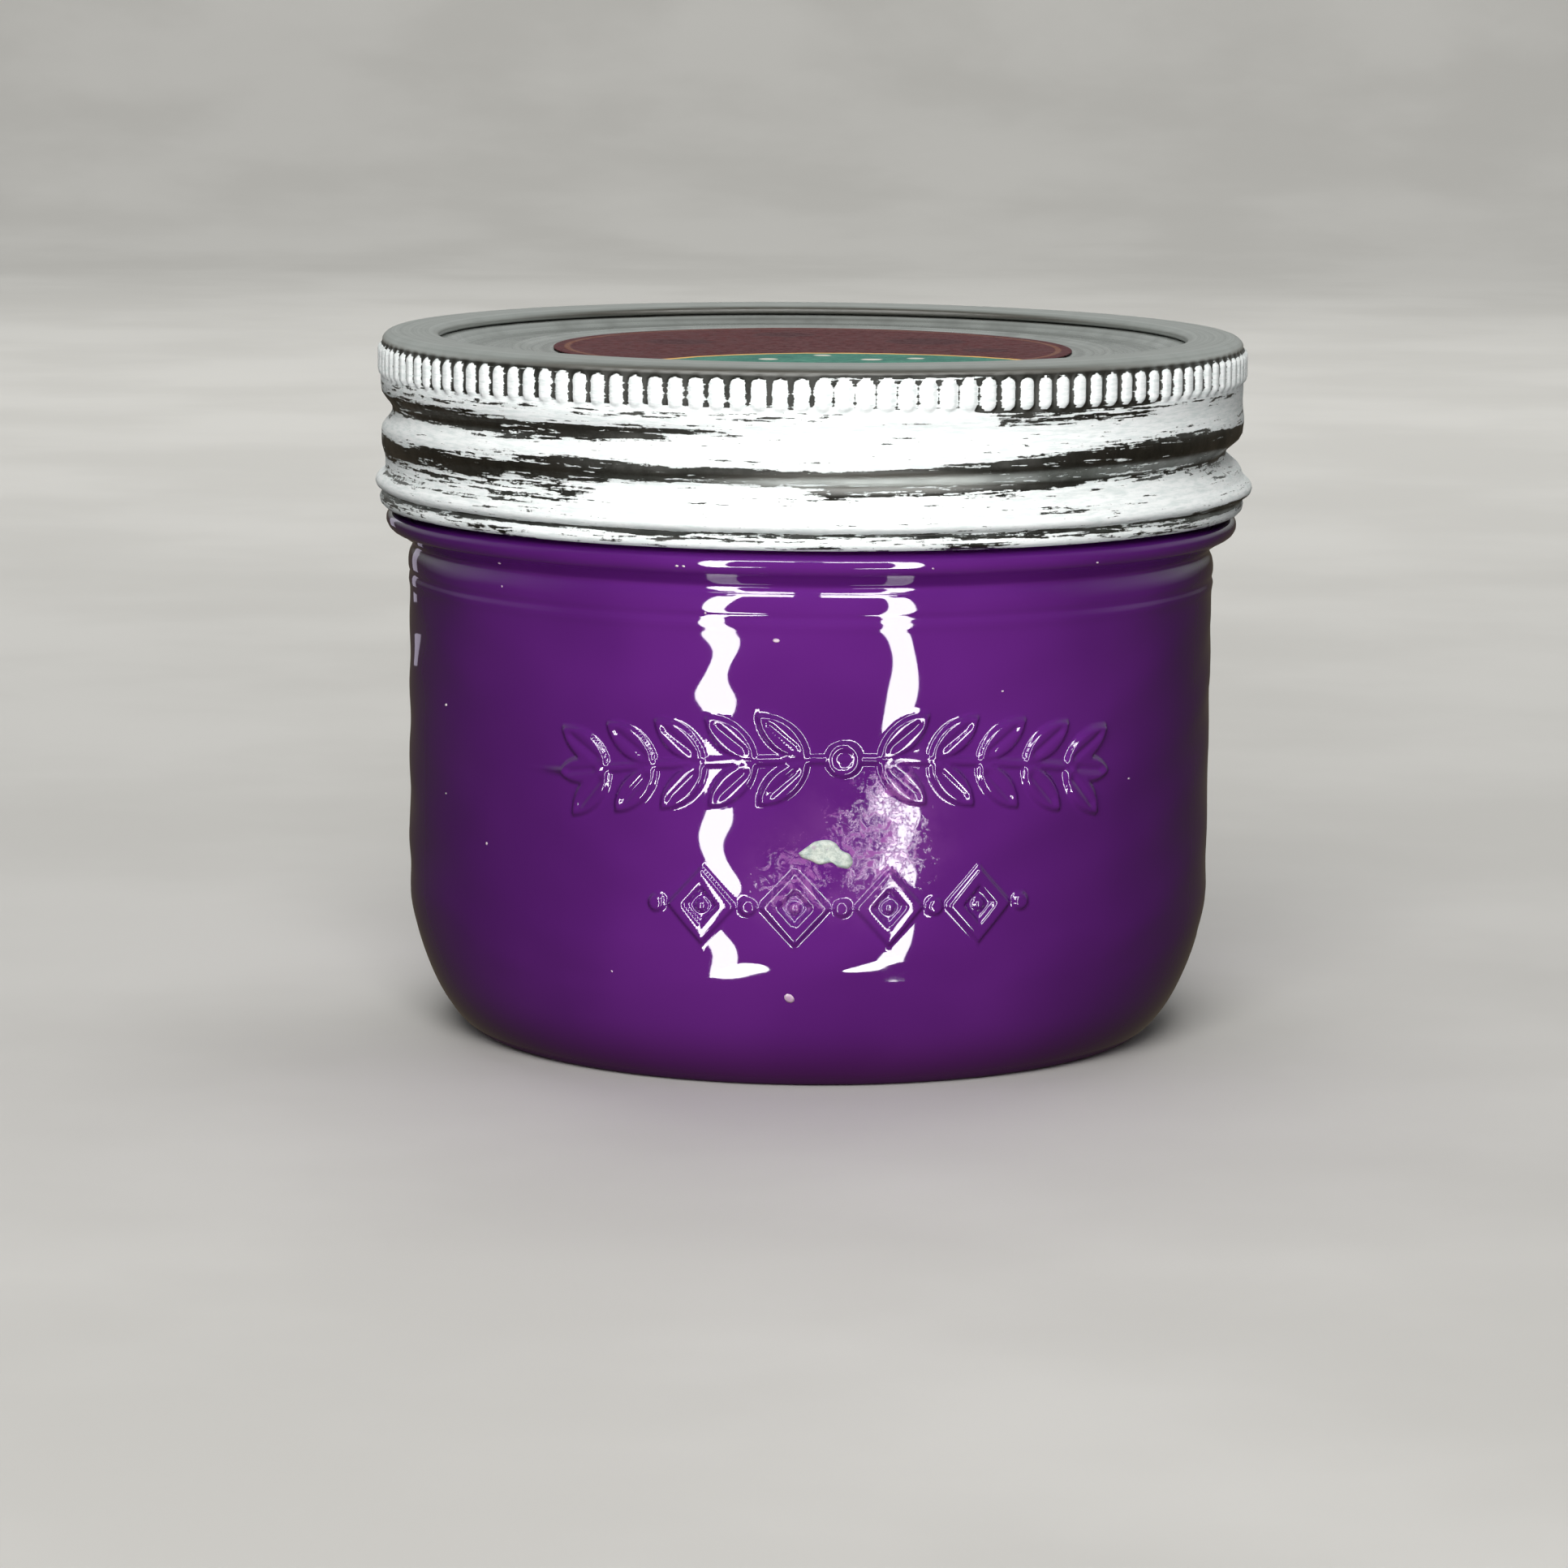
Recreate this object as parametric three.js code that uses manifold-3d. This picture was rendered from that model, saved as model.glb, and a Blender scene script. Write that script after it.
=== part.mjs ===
// A wide-mouth preserving jar that holds purple paint.
// Millimetres, +Z up. The origin is the centre of the ring that the jar stands on,
// and the raised pattern side of the glass faces -Y.
//
// The jar is closed by a flat tinplate disc with a sealing ring, held down by a screw band.
// The thread is right-handed: a counter-clockwise turn seen from above raises the band.

import * as THREE from 'three';
import { mergeVertices } from 'three/addons/utils/BufferGeometryUtils.js';
import Module from 'manifold-3d';

const wasm = await Module();
wasm.setup();

// ---------------------------------------------------------------- driving dimensions

// Glass body
const BODY_RADIUS = 41.95;
const HEEL_RUN = 7.15;          // how far the heel comes in from the body to the bearing ring
const HEEL_HEIGHT = 15.2;
const HEEL_ROUNDNESS = 1.6;     // exponent of the heel's superellipse: 2 would be an ellipse
const BEARING_RING_WIDTH = 2.3;
const PUSH_UP = 1.6;            // rise of the underside inside the bearing ring
const WALL = 3.0;
const FLOOR = 4.4;
const SHOULDER_HEIGHT = 46.0;   // top of the straight body

// Glass neck
const COLLAR_RADIUS = 44.4;     // the bead that the band stops above
const COLLAR_HEIGHT = 53.2;
const FINISH_RADIUS = 41.9;     // neck wall at the root of the thread
const MOUTH_RADIUS = 38.0;
const RIM_HEIGHT = 70.25;

// Thread, shared by the glass and the band
const PITCH = 5.08;
const THREAD_DATUM = 65.9;      // height of the band's thread where its helix crosses -Y
const THREAD_STEP = 2.1;        // how far the glass thread lies above the band's
const GLASS_THREAD = { height: 1.4, halfWidth: 1.45, from: -430, to: 5, lift: THREAD_STEP };
const BAND_THREAD = { height: -1.6, halfWidth: 1.75, from: -450, to: 20, lift: 0 };
const THREAD_FADE = 30;         // degrees over which a thread runs out

// Screw band
const SHEET = 0.45;
const BAND_RADIUS = 44.85;
const BAND_BOTTOM = 54.75;
const BAND_TOP = 72.8;
const FLARE_RADIUS = 46.0;
const OPENING_RADIUS = 38.95;
const KNURL_COUNT = 136;
const KNURL_CREST = 45.25;
const KNURL_ROOT = 44.95;
const KNURL_LOW = 68.3;
const KNURL_HIGH = 71.4;

// Lid disc, its sealing ring and its label
const DISC_RADIUS = 43.2;
const DISC_TOP = 71.7;
const PANEL_RADIUS = 37.4;
const PANEL_TOP = 70.9;
const BEAD_RADIUS = 30.9;       // stamped ring that stiffens the panel, outside the label
const BEAD_HALF_WIDTH = 1.3;
const BEAD_HEIGHT = 0.28;
const SEAL_INNER = 38.6;
const SEAL_OUTER = 42.5;
const SEAL_BOTTOM = 70.55;
const LABEL_RADIUS = 27.0;
const LABEL_THICKNESS = 0.2;

// Paint
const PAINT_LEVEL = 60.5;
const PAINT_GAP = 0.3;          // clearance kept between the paint solids and the glass
const FILM_THICKNESS = 0.35;
const FILM_TOP = 67.0;

// Dried splash on the front of the glass
const FLECK_HEIGHT = 24.4;
const FLECK_SHIFT = 1.8;
const FLECK_THICKNESS = 0.35;

const TOUCH_GAP = 0.3;          // between pieces that lie against each other
const ROUND_STEPS = 64;
const SMALL_STEPS = 48;

// ---------------------------------------------------------------- helpers

const vec2 = (r, z) => new THREE.Vector2(r, z);

// Points of a straight run of heights at one radius, ends included.
function wallPoints(radius, from, to, steps) {
  const points = [];
  for (let i = 0; i <= steps; i += 1) {
    points.push(vec2(radius, from + ((to - from) * i) / steps));
  }
  return points;
}

// Points on a circular arc in the profile plane, angles in degrees.
function arcPoints(centreR, centreZ, radius, from, to, steps) {
  const points = [];
  for (let i = 0; i <= steps; i += 1) {
    const angle = THREE.MathUtils.degToRad(from + ((to - from) * i) / steps);
    points.push(vec2(centreR + radius * Math.cos(angle), centreZ + radius * Math.sin(angle)));
  }
  return points;
}

// A quarter of a superellipse from the bearing plane up to the straight wall.
function heelPoints(wallRadius, run, height, base, steps) {
  const points = [];
  for (let i = 0; i <= steps; i += 1) {
    const angle = ((Math.PI / 2) * i) / steps;
    const across = Math.sin(angle) ** (2 / HEEL_ROUNDNESS);
    const up = 1 - Math.cos(angle) ** (2 / HEEL_ROUNDNESS);
    points.push(vec2(wallRadius - run + run * across, base + height * up));
  }
  return points;
}

// Keeps positions only, joins shared vertices and drops the triangles that collapse on the axis.
function weld(geometry) {
  geometry.deleteAttribute('normal');
  geometry.deleteAttribute('uv');
  const merged = mergeVertices(geometry, 1e-4);
  const old = merged.index.array;
  const kept = [];
  for (let i = 0; i < old.length; i += 3) {
    const [a, b, c] = [old[i], old[i + 1], old[i + 2]];
    if (a !== b && b !== c && c !== a) {
      kept.push(a, b, c);
    }
  }
  merged.setIndex(kept);
  return merged;
}

// Revolves a profile about Z. The profile runs up the outside and down the inside.
function revolve(points, steps = ROUND_STEPS) {
  const geometry = new THREE.LatheGeometry(points, steps);
  geometry.rotateX(Math.PI / 2);
  return weld(geometry);
}

function toManifold(geometry) {
  return new wasm.Manifold(new wasm.Mesh({
    numProp: 3,
    vertProperties: new Float32Array(geometry.attributes.position.array),
    triVerts: new Uint32Array(geometry.index.array),
  }));
}

function fromManifold(solid) {
  const mesh = solid.getMesh();
  const geometry = new THREE.BufferGeometry();
  geometry.setAttribute('position', new THREE.BufferAttribute(mesh.vertProperties, 3));
  geometry.setIndex(new THREE.BufferAttribute(mesh.triVerts, 1));
  return geometry;
}

// How far a thread moves the wall at one point, with the azimuth measured from -Y.
function threadOffset(thread, azimuth, z) {
  let offset = 0;
  for (let turn = -2; turn <= 1; turn += 1) {
    const along = azimuth + 360 * turn;
    const height = THREAD_DATUM + thread.lift + (PITCH * along) / 360;
    const reach = Math.min(along - thread.from, thread.to - along);
    const away = Math.abs(z - height) / thread.halfWidth;
    if (reach > 0 && away < 1) {
      const fade = THREE.MathUtils.smoothstep(reach, 0, THREAD_FADE);
      offset += thread.height * fade * Math.cos((Math.PI * away) / 2) ** 2;
    }
  }
  return offset;
}

// Presses a thread into every vertex that lies outside the given radius.
function rollThread(geometry, thread, insideRadius) {
  const position = geometry.attributes.position;
  for (let i = 0; i < position.count; i += 1) {
    const x = position.getX(i);
    const y = position.getY(i);
    const radius = Math.hypot(x, y);
    if (radius > insideRadius) {
      const azimuth = THREE.MathUtils.radToDeg(Math.atan2(x, -y));
      const scale = 1 + threadOffset(thread, azimuth, position.getZ(i)) / radius;
      position.setX(i, x * scale);
      position.setY(i, y * scale);
    }
  }
  return geometry;
}

function piece(name, geometry, color, roughness, metalness) {
  const material = new THREE.MeshStandardMaterial({ color, roughness, metalness });
  const mesh = new THREE.Mesh(geometry, material);
  mesh.name = name;
  return mesh;
}

// ---------------------------------------------------------------- glass jar

// The outside from the centre of the underside up to the foot of the neck.
function jarOutside() {
  const ringOuter = BODY_RADIUS - HEEL_RUN;
  const ringInner = ringOuter - BEARING_RING_WIDTH;
  return [
    vec2(0, PUSH_UP),
    vec2(ringInner - 6, PUSH_UP),
    vec2(ringInner - 1.5, PUSH_UP * 0.6),
    vec2(ringInner, 0),
    ...heelPoints(BODY_RADIUS, HEEL_RUN, HEEL_HEIGHT, 0, 8),
    vec2(BODY_RADIUS, SHOULDER_HEIGHT),
    vec2(BODY_RADIUS + 0.1, SHOULDER_HEIGHT + 2.4),
    vec2(BODY_RADIUS - 0.35, SHOULDER_HEIGHT + 4.4),
  ];
}

// The collar, the threaded neck and the rounded rim.
function neckOutside() {
  const rim = (FINISH_RADIUS - MOUTH_RADIUS) / 2;
  return [
    vec2(COLLAR_RADIUS - 1.9, COLLAR_HEIGHT - 1.9),
    vec2(COLLAR_RADIUS - 0.5, COLLAR_HEIGHT - 0.9),
    vec2(COLLAR_RADIUS, COLLAR_HEIGHT),
    vec2(COLLAR_RADIUS - 0.6, COLLAR_HEIGHT + 0.9),
    vec2(FINISH_RADIUS + 0.3, COLLAR_HEIGHT + 1.4),
    vec2(FINISH_RADIUS, COLLAR_HEIGHT + 3.0),
    ...wallPoints(FINISH_RADIUS, 60.2, 69.4, 12),
    vec2(FINISH_RADIUS - rim * 0.35, RIM_HEIGHT),
    vec2(MOUTH_RADIUS + rim * 0.35, RIM_HEIGHT),
    vec2(MOUTH_RADIUS, RIM_HEIGHT - 0.7),
  ];
}

// The inside from the mouth down to the centre of the floor.
function jarInside() {
  const inner = BODY_RADIUS - WALL;
  const heel = heelPoints(inner, HEEL_RUN, HEEL_HEIGHT - 3, FLOOR, 6);
  return [
    vec2(MOUTH_RADIUS, COLLAR_HEIGHT + 1),
    vec2(inner, SHOULDER_HEIGHT + 1),
    ...heel.reverse(),
    vec2(inner - HEEL_RUN - 8, FLOOR + 0.2),
    vec2(0, FLOOR + PUSH_UP),
  ];
}

function glassJar() {
  const geometry = revolve([...jarOutside(), ...neckOutside(), ...jarInside()]);
  rollThread(geometry, GLASS_THREAD, FINISH_RADIUS - 0.5);
  return piece('glass_jar', geometry, 0x5a1d78, 0.05, 0.0);
}

// ---------------------------------------------------------------- paint

function paintFill() {
  const radius = BODY_RADIUS - WALL - PAINT_GAP;
  const neck = MOUTH_RADIUS - PAINT_GAP;
  const base = FLOOR + PUSH_UP + PAINT_GAP;
  const profile = [
    vec2(0, base),
    vec2(radius - HEEL_RUN, base),
    ...heelPoints(radius, HEEL_RUN - 0.4, HEEL_HEIGHT - 4, base, 5).slice(1),
    vec2(radius, SHOULDER_HEIGHT + 0.8),
    vec2(neck, COLLAR_HEIGHT + 0.8),
    vec2(neck, PAINT_LEVEL),
    vec2(0, PAINT_LEVEL),
  ];
  return piece('paint_fill', revolve(profile, SMALL_STEPS), 0x4b1566, 0.25, 0.0);
}

// Dried paint on the inside of the neck, above the level of the liquid.
function paintFilm() {
  const outer = MOUTH_RADIUS - PAINT_GAP;
  const inner = outer - FILM_THICKNESS;
  const bottom = PAINT_LEVEL + TOUCH_GAP;
  const profile = [
    vec2(inner, bottom),
    vec2(outer, bottom),
    vec2(outer, FILM_TOP),
    vec2(inner, FILM_TOP),
    vec2(inner, bottom),
  ];
  return piece('paint_film', revolve(profile, SMALL_STEPS), 0x5a1d78, 0.4, 0.0);
}

// A small splash of pale paint, dried on the front of the jar.
function driedFleck() {
  const outline = new THREE.Shape();
  outline.moveTo(-2.6, 0.2);
  outline.splineThru([
    vec2(-1.5, 1.1),
    vec2(0.3, 1.5),
    vec2(1.9, 0.6),
    vec2(2.5, -0.8),
    vec2(1.2, -1.3),
    vec2(-0.6, -0.9),
    vec2(-2.6, 0.2),
  ]);
  const options = { depth: FLECK_THICKNESS, bevelEnabled: false, curveSegments: 2 };
  const geometry = new THREE.ExtrudeGeometry(outline, options);
  geometry.rotateX(Math.PI / 2);
  geometry.translate(FLECK_SHIFT, -BODY_RADIUS - TOUCH_GAP, FLECK_HEIGHT);
  return piece('dried_fleck', weld(geometry), 0xbdd0cb, 0.6, 0.0);
}

// ---------------------------------------------------------------- lid

// The stamped bead of the panel, from its inner to its outer foot, on a face at one height.
function beadPoints(face) {
  return [
    vec2(BEAD_RADIUS - BEAD_HALF_WIDTH, face),
    vec2(BEAD_RADIUS, face + BEAD_HEIGHT),
    vec2(BEAD_RADIUS + BEAD_HALF_WIDTH, face),
  ];
}

function lidDisc() {
  const under = DISC_TOP - SHEET;
  const panelUnder = PANEL_TOP - SHEET;
  const profile = [
    vec2(0, panelUnder),
    ...beadPoints(panelUnder),
    vec2(PANEL_RADIUS - 0.2, panelUnder),
    vec2(PANEL_RADIUS + 0.6, under),
    vec2(DISC_RADIUS - SHEET, under),
    vec2(DISC_RADIUS - SHEET, under - 0.5),
    vec2(DISC_RADIUS, under - 0.5),
    vec2(DISC_RADIUS, DISC_TOP - 0.15),
    vec2(DISC_RADIUS - 0.2, DISC_TOP),
    vec2(PANEL_RADIUS + 0.4, DISC_TOP),
    vec2(PANEL_RADIUS - 0.4, PANEL_TOP),
    ...beadPoints(PANEL_TOP).reverse(),
    vec2(0, PANEL_TOP),
  ];
  return piece('lid_disc', revolve(profile), 0x9ea3a0, 0.35, 1.0);
}

// The ring of sealing compound between the disc and the glass rim.
function lidSeal() {
  const top = DISC_TOP - SHEET - 0.05;
  const middle = (SEAL_BOTTOM + top) / 2;
  const profile = [
    vec2(SEAL_INNER + 0.3, SEAL_BOTTOM),
    vec2(SEAL_OUTER - 0.3, SEAL_BOTTOM),
    vec2(SEAL_OUTER, middle),
    vec2(SEAL_OUTER, top),
    vec2(SEAL_INNER, top),
    vec2(SEAL_INNER, middle),
    vec2(SEAL_INNER + 0.3, SEAL_BOTTOM),
  ];
  return piece('lid_seal', revolve(profile, SMALL_STEPS), 0x6e6a62, 0.6, 0.0);
}

function lidLabel() {
  const geometry = new THREE.CylinderGeometry(LABEL_RADIUS, LABEL_RADIUS, LABEL_THICKNESS, SMALL_STEPS);
  geometry.rotateX(Math.PI / 2);
  geometry.translate(0, 0, PANEL_TOP + 0.05 + LABEL_THICKNESS / 2);
  return piece('lid_label', weld(geometry), 0x6b2230, 0.5, 0.0);
}

// ---------------------------------------------------------------- screw band

// The sheet of the band: curled hem, flare, threaded skirt, rounded top corner and flange.
function bandSheet() {
  const inner = BAND_RADIUS - SHEET;
  const threadLow = 59.2;
  const threadHigh = 68.1;
  const corner = 1.3;
  const profile = [
    vec2(43.9, BAND_BOTTOM),
    vec2(44.6, BAND_BOTTOM),
    vec2(45.0, BAND_BOTTOM + 0.4),
    vec2(45.0, BAND_BOTTOM + 1.2),
    vec2(44.85, BAND_BOTTOM + 1.5),
    vec2(FLARE_RADIUS - 0.3, BAND_BOTTOM + 1.9),
    vec2(FLARE_RADIUS, BAND_BOTTOM + 2.5),
    vec2(FLARE_RADIUS - 0.3, BAND_BOTTOM + 3.2),
    ...wallPoints(BAND_RADIUS, threadLow, threadHigh, 10),
    ...arcPoints(BAND_RADIUS - corner, BAND_TOP - corner, corner, 0, 90, 3),
    vec2(OPENING_RADIUS + 0.5, BAND_TOP),
    vec2(OPENING_RADIUS, BAND_TOP - 0.3),
    vec2(OPENING_RADIUS, BAND_TOP - 0.75),
    vec2(OPENING_RADIUS + 0.35, BAND_TOP - 0.75),
    vec2(OPENING_RADIUS + 0.5, BAND_TOP - SHEET),
    ...arcPoints(BAND_RADIUS - corner, BAND_TOP - corner, corner - SHEET, 90, 0, 2),
    ...wallPoints(inner, threadHigh, threadLow, 10),
    vec2(FLARE_RADIUS - 0.3 - SHEET, BAND_BOTTOM + 3.1),
    vec2(FLARE_RADIUS - SHEET, BAND_BOTTOM + 2.5),
    vec2(FLARE_RADIUS - 0.6 - SHEET, BAND_BOTTOM + 2.1),
    vec2(43.9, BAND_BOTTOM + 1.5),
    vec2(43.65, BAND_BOTTOM + 1.2),
    vec2(43.65, BAND_BOTTOM + 0.3),
    vec2(43.9, BAND_BOTTOM),
  ];
  return rollThread(revolve(profile), BAND_THREAD, OPENING_RADIUS);
}

// The ring of upright ribs that fingers grip.
function knurlRing() {
  const outline = new THREE.Shape();
  for (let i = 0; i < KNURL_COUNT * 2; i += 1) {
    const angle = (Math.PI * i) / KNURL_COUNT;
    const radius = i % 2 ? KNURL_ROOT : KNURL_CREST;
    outline[i ? 'lineTo' : 'moveTo'](radius * Math.cos(angle), radius * Math.sin(angle));
  }
  outline.closePath();
  const bore = new THREE.Path();
  bore.absarc(0, 0, BAND_RADIUS - SHEET / 2, 0, Math.PI * 2);
  outline.holes.push(bore);
  const options = { depth: KNURL_HIGH - KNURL_LOW, bevelEnabled: false, curveSegments: ROUND_STEPS / 2 };
  const geometry = new THREE.ExtrudeGeometry(outline, options);
  geometry.translate(0, 0, KNURL_LOW);
  return weld(geometry);
}

function screwBand() {
  const joined = toManifold(bandSheet()).add(toManifold(knurlRing()));
  return piece('screw_band', fromManifold(joined), 0xc9d0cc, 0.55, 0.4);
}

// ---------------------------------------------------------------- the whole jar

const jar = new THREE.Group();
jar.add(glassJar(), paintFill(), paintFilm(), driedFleck());

const lid = new THREE.Group();
lid.add(lidDisc(), lidSeal(), lidLabel());

const paintJar = new THREE.Group();
paintJar.add(jar, lid, screwBand());

export default paintJar;
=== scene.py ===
# The looks of a preserving jar full of purple paint, with a brushed white screw band.
# Lengths in this file are millimetres until a mesh is made, and angles round the jar are
# azimuths in degrees from -Y, positive towards +X.

import math

import bpy
import numpy as np
from mathutils import Matrix, Vector


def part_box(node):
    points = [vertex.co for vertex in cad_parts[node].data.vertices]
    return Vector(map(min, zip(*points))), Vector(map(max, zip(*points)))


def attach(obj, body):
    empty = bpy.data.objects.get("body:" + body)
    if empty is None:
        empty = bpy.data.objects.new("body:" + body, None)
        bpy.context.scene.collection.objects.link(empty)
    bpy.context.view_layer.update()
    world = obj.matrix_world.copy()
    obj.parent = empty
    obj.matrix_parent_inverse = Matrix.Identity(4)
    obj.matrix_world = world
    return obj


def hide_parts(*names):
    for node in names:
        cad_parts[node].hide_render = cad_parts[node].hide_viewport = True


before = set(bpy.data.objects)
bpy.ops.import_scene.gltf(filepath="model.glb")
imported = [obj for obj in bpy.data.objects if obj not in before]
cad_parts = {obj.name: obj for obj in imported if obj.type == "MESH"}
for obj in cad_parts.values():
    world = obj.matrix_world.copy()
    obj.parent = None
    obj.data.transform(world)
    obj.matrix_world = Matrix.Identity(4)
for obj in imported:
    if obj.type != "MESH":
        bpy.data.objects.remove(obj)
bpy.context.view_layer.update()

MM = 0.001


def reach(node):
    """Outer radius, lowest and highest height of a CAD node that is round about Z, in mm."""
    low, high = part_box(node)
    return high.x / MM, low.z / MM, high.z / MM


COLLAR_R, _, RIM_TOP = reach("glass_jar")
BODY_R = COLLAR_R - 2.45
FINISH_R = COLLAR_R - 2.5       # the neck at the root of its thread
MOUTH_R = FINISH_R - 3.9
WALL = 3.0                      # thickness of the glass
HEEL_RUN = 7.15                 # from the wall in to the bearing ring
HEEL_TOP = 15.2
HEEL_ROUNDNESS = 1.6            # exponent of the heel's superellipse
PATTERN_TOP = 38.5              # the wall is cut finely up to here, for the raised pattern
WALL_TOP = 45.7
NECK_LOW = 56.2
WETTING = 0.05                  # how far wet paint laps into the glass, so that no gap shows
_, _, PAINT_LEVEL = reach("paint_fill")
FILM_R, _, FILM_TOP = reach("paint_film")
DISC_R, _, DISC_TOP = reach("lid_disc")
SEAL_R, SEAL_LOW, SEAL_TOP = reach("lid_seal")
LABEL_R, LABEL_LOW, LABEL_TOP = reach("lid_label")
FLARE_R, BAND_LOW, BAND_TOP = reach("screw_band")
SKIRT_R = FLARE_R - 1.15
SHEET = 0.45                    # thickness of the band's tinplate
STEP_R = DISC_R - 5.8           # where the disc steps down to its panel
BEAD_R = DISC_R - 12.3          # the stamped ring that stiffens the panel

# ------------------------------------ small maths


def ease(x):
    """0 below 0, 1 above 1, smooth between."""
    x = np.clip(x, 0, 1)
    return x * x * (3 - 2 * x)


def window(x, low, high, soft):
    """1 between low and high, fading to 0 over soft outside them."""
    return ease((x - low) / soft + 1) * ease((high - x) / soft + 1)


def bump(x, width):
    return np.exp(-((x / width) ** 2))


def flowing(points, step):
    """A smooth line through (radius, height) points, cut about every step mm. Between two
    points neither number ever leaves the span of the two."""
    p = np.array(points, float)
    t = np.concatenate([[0], np.cumsum(np.linalg.norm(np.diff(p, axis=0), axis=1))])
    run = np.diff(p, axis=0) / np.diff(t)[:, None]
    product = run[:-1] * run[1:]
    total = np.where(product > 0, run[:-1] + run[1:], 1)
    slope = np.vstack([run[:1], np.where(product > 0, 2 * product / total, 0), run[-1:]])
    out = []
    for i in range(len(p) - 1):
        gap = t[i + 1] - t[i]
        n = max(1, int(round(gap / step)))
        u = (np.arange(n) / n)[:, None]
        out.append(
            p[i] * (1 + 2 * u) * (1 - u) ** 2
            + p[i + 1] * u * u * (3 - 2 * u)
            + slope[i] * gap * u * (1 - u) ** 2
            - slope[i + 1] * gap * u * u * (1 - u)
        )
    out.append(p[-1:])
    return np.vstack(out)


def steps_from(r, z, *steps):
    """Points of a profile, given as steps out and up from one point."""
    return [(r + out, z + up) for out, up in steps]


def joined(*lines):
    """Lines end to end, with no point twice in a row."""
    every = np.vstack(lines)
    keep = np.ones(len(every), bool)
    keep[1:] = np.linalg.norm(np.diff(every, axis=0), axis=1) > 1e-6
    return every[keep]


# ------------------------------------ meshes


def mesh_object(name, points, faces, body):
    """A mesh from points in mm and a list of face arrays, riding on a body."""
    mesh = bpy.data.meshes.new(name)
    points = np.asarray(points, float)
    sizes = np.concatenate([np.full(len(f), f.shape[1]) for f in faces])
    corners = np.concatenate([f.ravel() for f in faces])
    mesh.vertices.add(len(points))
    mesh.vertices.foreach_set("co", (points * MM).astype(np.float32).ravel())
    mesh.loops.add(len(corners))
    mesh.loops.foreach_set("vertex_index", corners.astype(np.int32))
    mesh.polygons.add(len(sizes))
    starts = np.concatenate([[0], np.cumsum(sizes)[:-1]])
    mesh.polygons.foreach_set("loop_start", starts.astype(np.int32))
    mesh.polygons.foreach_set("use_smooth", np.ones(len(sizes), bool))
    mesh.update(calc_edges=True)
    mesh.validate()
    piece = bpy.data.objects.new(name, mesh)
    bpy.context.scene.collection.objects.link(piece)
    if body:
        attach(piece, body)
    return piece


def stands_for(piece, node):
    """Hides a CAD node behind a piece."""
    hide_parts(node)
    return piece


def revolved(name, profile, azimuths, body, move=None):
    """Turns a (radius, height) profile about Z. It runs up the outside and down the inside.
    Returns the piece and the grid of radius, height and azimuth before move bends it."""
    profile = np.array(profile, float)
    loop = np.allclose(profile[0], profile[-1])
    first, last = profile[0, 0] < 1e-6, profile[-1, 0] < 1e-6
    rows_at = profile[:-1] if loop else profile[int(first):len(profile) - int(last)]
    rows, cols = len(rows_at), len(azimuths)
    r = np.repeat(rows_at[:, :1], cols, 1)
    z = np.repeat(rows_at[:, 1:], cols, 1)
    a = np.repeat(np.asarray(azimuths, float)[None, :], rows, 0)
    grid = (r, z, a)
    if move:
        r, z = move(r, z, a)
    turn = np.radians(a)
    points = np.stack([r * np.sin(turn), -r * np.cos(turn), z], -1).reshape(-1, 3)
    i = np.arange(rows if loop else rows - 1)[:, None]
    j = np.arange(cols)[None, :]
    n, k = (i + 1) % rows, (j + 1) % cols
    quads = np.stack(
        np.broadcast_arrays(i * cols + j, i * cols + k, n * cols + k, n * cols + j), -1
    ).reshape(-1, 4)
    faces = [quads]
    ring = np.arange(cols)
    if first:
        points = np.vstack([points, [[0, 0, profile[0, 1]]]])
        hub = np.full(cols, len(points) - 1)
        faces.append(np.stack([hub, np.roll(ring, -1), ring], -1))
    if last:
        points = np.vstack([points, [[0, 0, profile[-1, 1]]]])
        hub = np.full(cols, len(points) - 1)
        edge = (rows - 1) * cols
        faces.append(np.stack([edge + ring, edge + np.roll(ring, -1), hub], -1))
    return mesh_object(name, points, faces, body), grid


def store(piece, name, values):
    """Keeps one number for each point of a piece, for its material. Poles get the last one."""
    flat = np.asarray(values, np.float32).ravel()
    extra = len(piece.data.vertices) - len(flat)
    flat = np.concatenate([flat, np.full(extra, flat[-1], np.float32)])
    piece.data.attributes.new(name, "FLOAT", "POINT").data.foreach_set("value", flat)


def even_turn(columns):
    return np.arange(columns) * 360.0 / columns


def signed_azimuth(a):
    return (a + 180) % 360 - 180


def heel(wall_r, run, height, base, steps):
    """A quarter of a superellipse from the bearing plane up to the straight wall."""
    angle = np.linspace(0, math.pi / 2, steps)
    across = np.sin(angle) ** (2 / HEEL_ROUNDNESS)
    up = 1 - np.cos(angle) ** (2 / HEEL_ROUNDNESS)
    return np.stack([wall_r - run + run * across, base + height * up], -1)


# ------------------------------------ moulded glass

PITCH = 5.08
GLASS_THREAD = {"datum": 68.0, "height": 1.4, "half": 1.45, "from": -430.0, "to": 5.0}


def glass_thread(z, a):
    """The raised screw thread of the neck."""
    out = np.zeros_like(z)
    for turn in (-2, -1, 0, 1):
        along = signed_azimuth(a) + 360 * turn
        height = GLASS_THREAD["datum"] + PITCH * along / 360
        left = np.minimum(along - GLASS_THREAD["from"], GLASS_THREAD["to"] - along)
        away = np.abs(z - height) / GLASS_THREAD["half"]
        shape = np.cos(np.pi / 2 * np.clip(away, 0, 1)) ** 2
        out += GLASS_THREAD["height"] * ease(left / 30) * shape
    return out


RIPPLES = 16
RIPPLE_SLOPE = 0.0048      # sideways slope of each wave


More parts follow.
